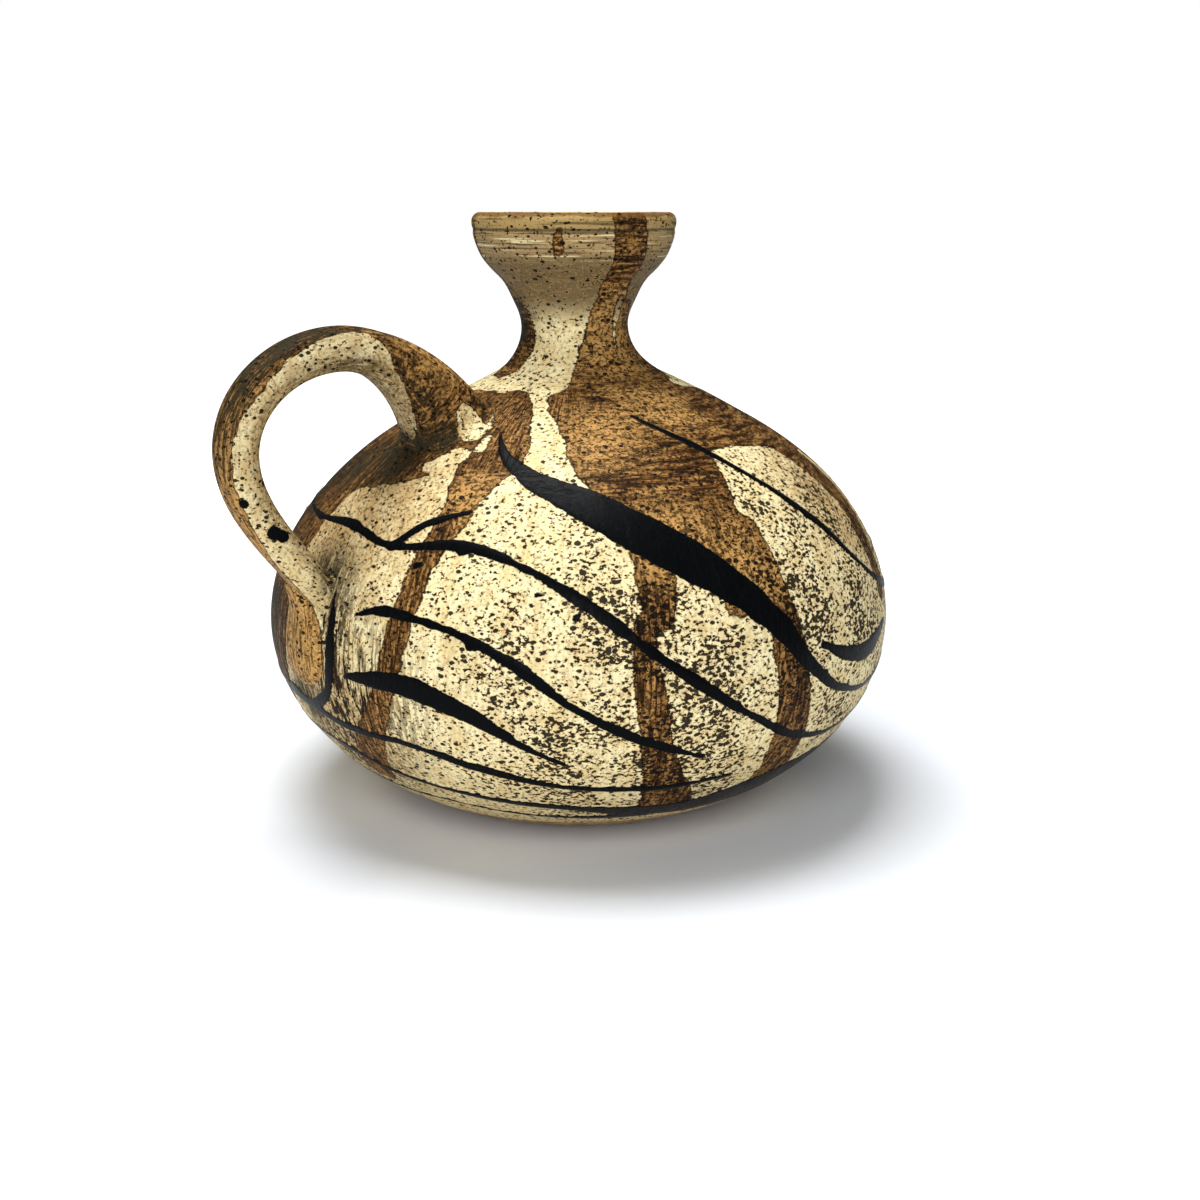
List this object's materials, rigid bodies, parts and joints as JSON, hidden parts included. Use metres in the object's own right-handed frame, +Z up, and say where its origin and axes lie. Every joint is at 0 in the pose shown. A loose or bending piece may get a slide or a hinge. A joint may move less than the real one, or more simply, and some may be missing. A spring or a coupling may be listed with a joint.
{
  "type": "handled vase",
  "caption": "Squat stoneware vase with a round belly, narrow neck, cupped mouth and a looped carrying handle, in a streaked and speckled glaze.",
  "frame": {"origin": "centre of the flat base that the vase stands on", "axes": "+Z up along the turning axis, -X towards the handle"},
  "size_m": [0.2179, 0.194, 0.18],
  "materials": {
    "bare_clay": "matt",
    "belly_glaze": "satin",
    "shoulder_glaze": "satin",
    "neck_glaze": "satin",
    "lip_glaze": "satin",
    "handle_glaze": "satin"
  },
  "bodies": {
    "root": {"base_slab": "bare_clay", "belly_bowl": "belly_glaze", "shoulder_dome": "shoulder_glaze", "neck_collar": "neck_glaze", "mouth_cup": "neck_glaze", "rim_lip": "lip_glaze", "handle_root": "handle_glaze", "handle_strap": "handle_glaze", "handle_tail": "handle_glaze"}
  },
  "joints": []
}
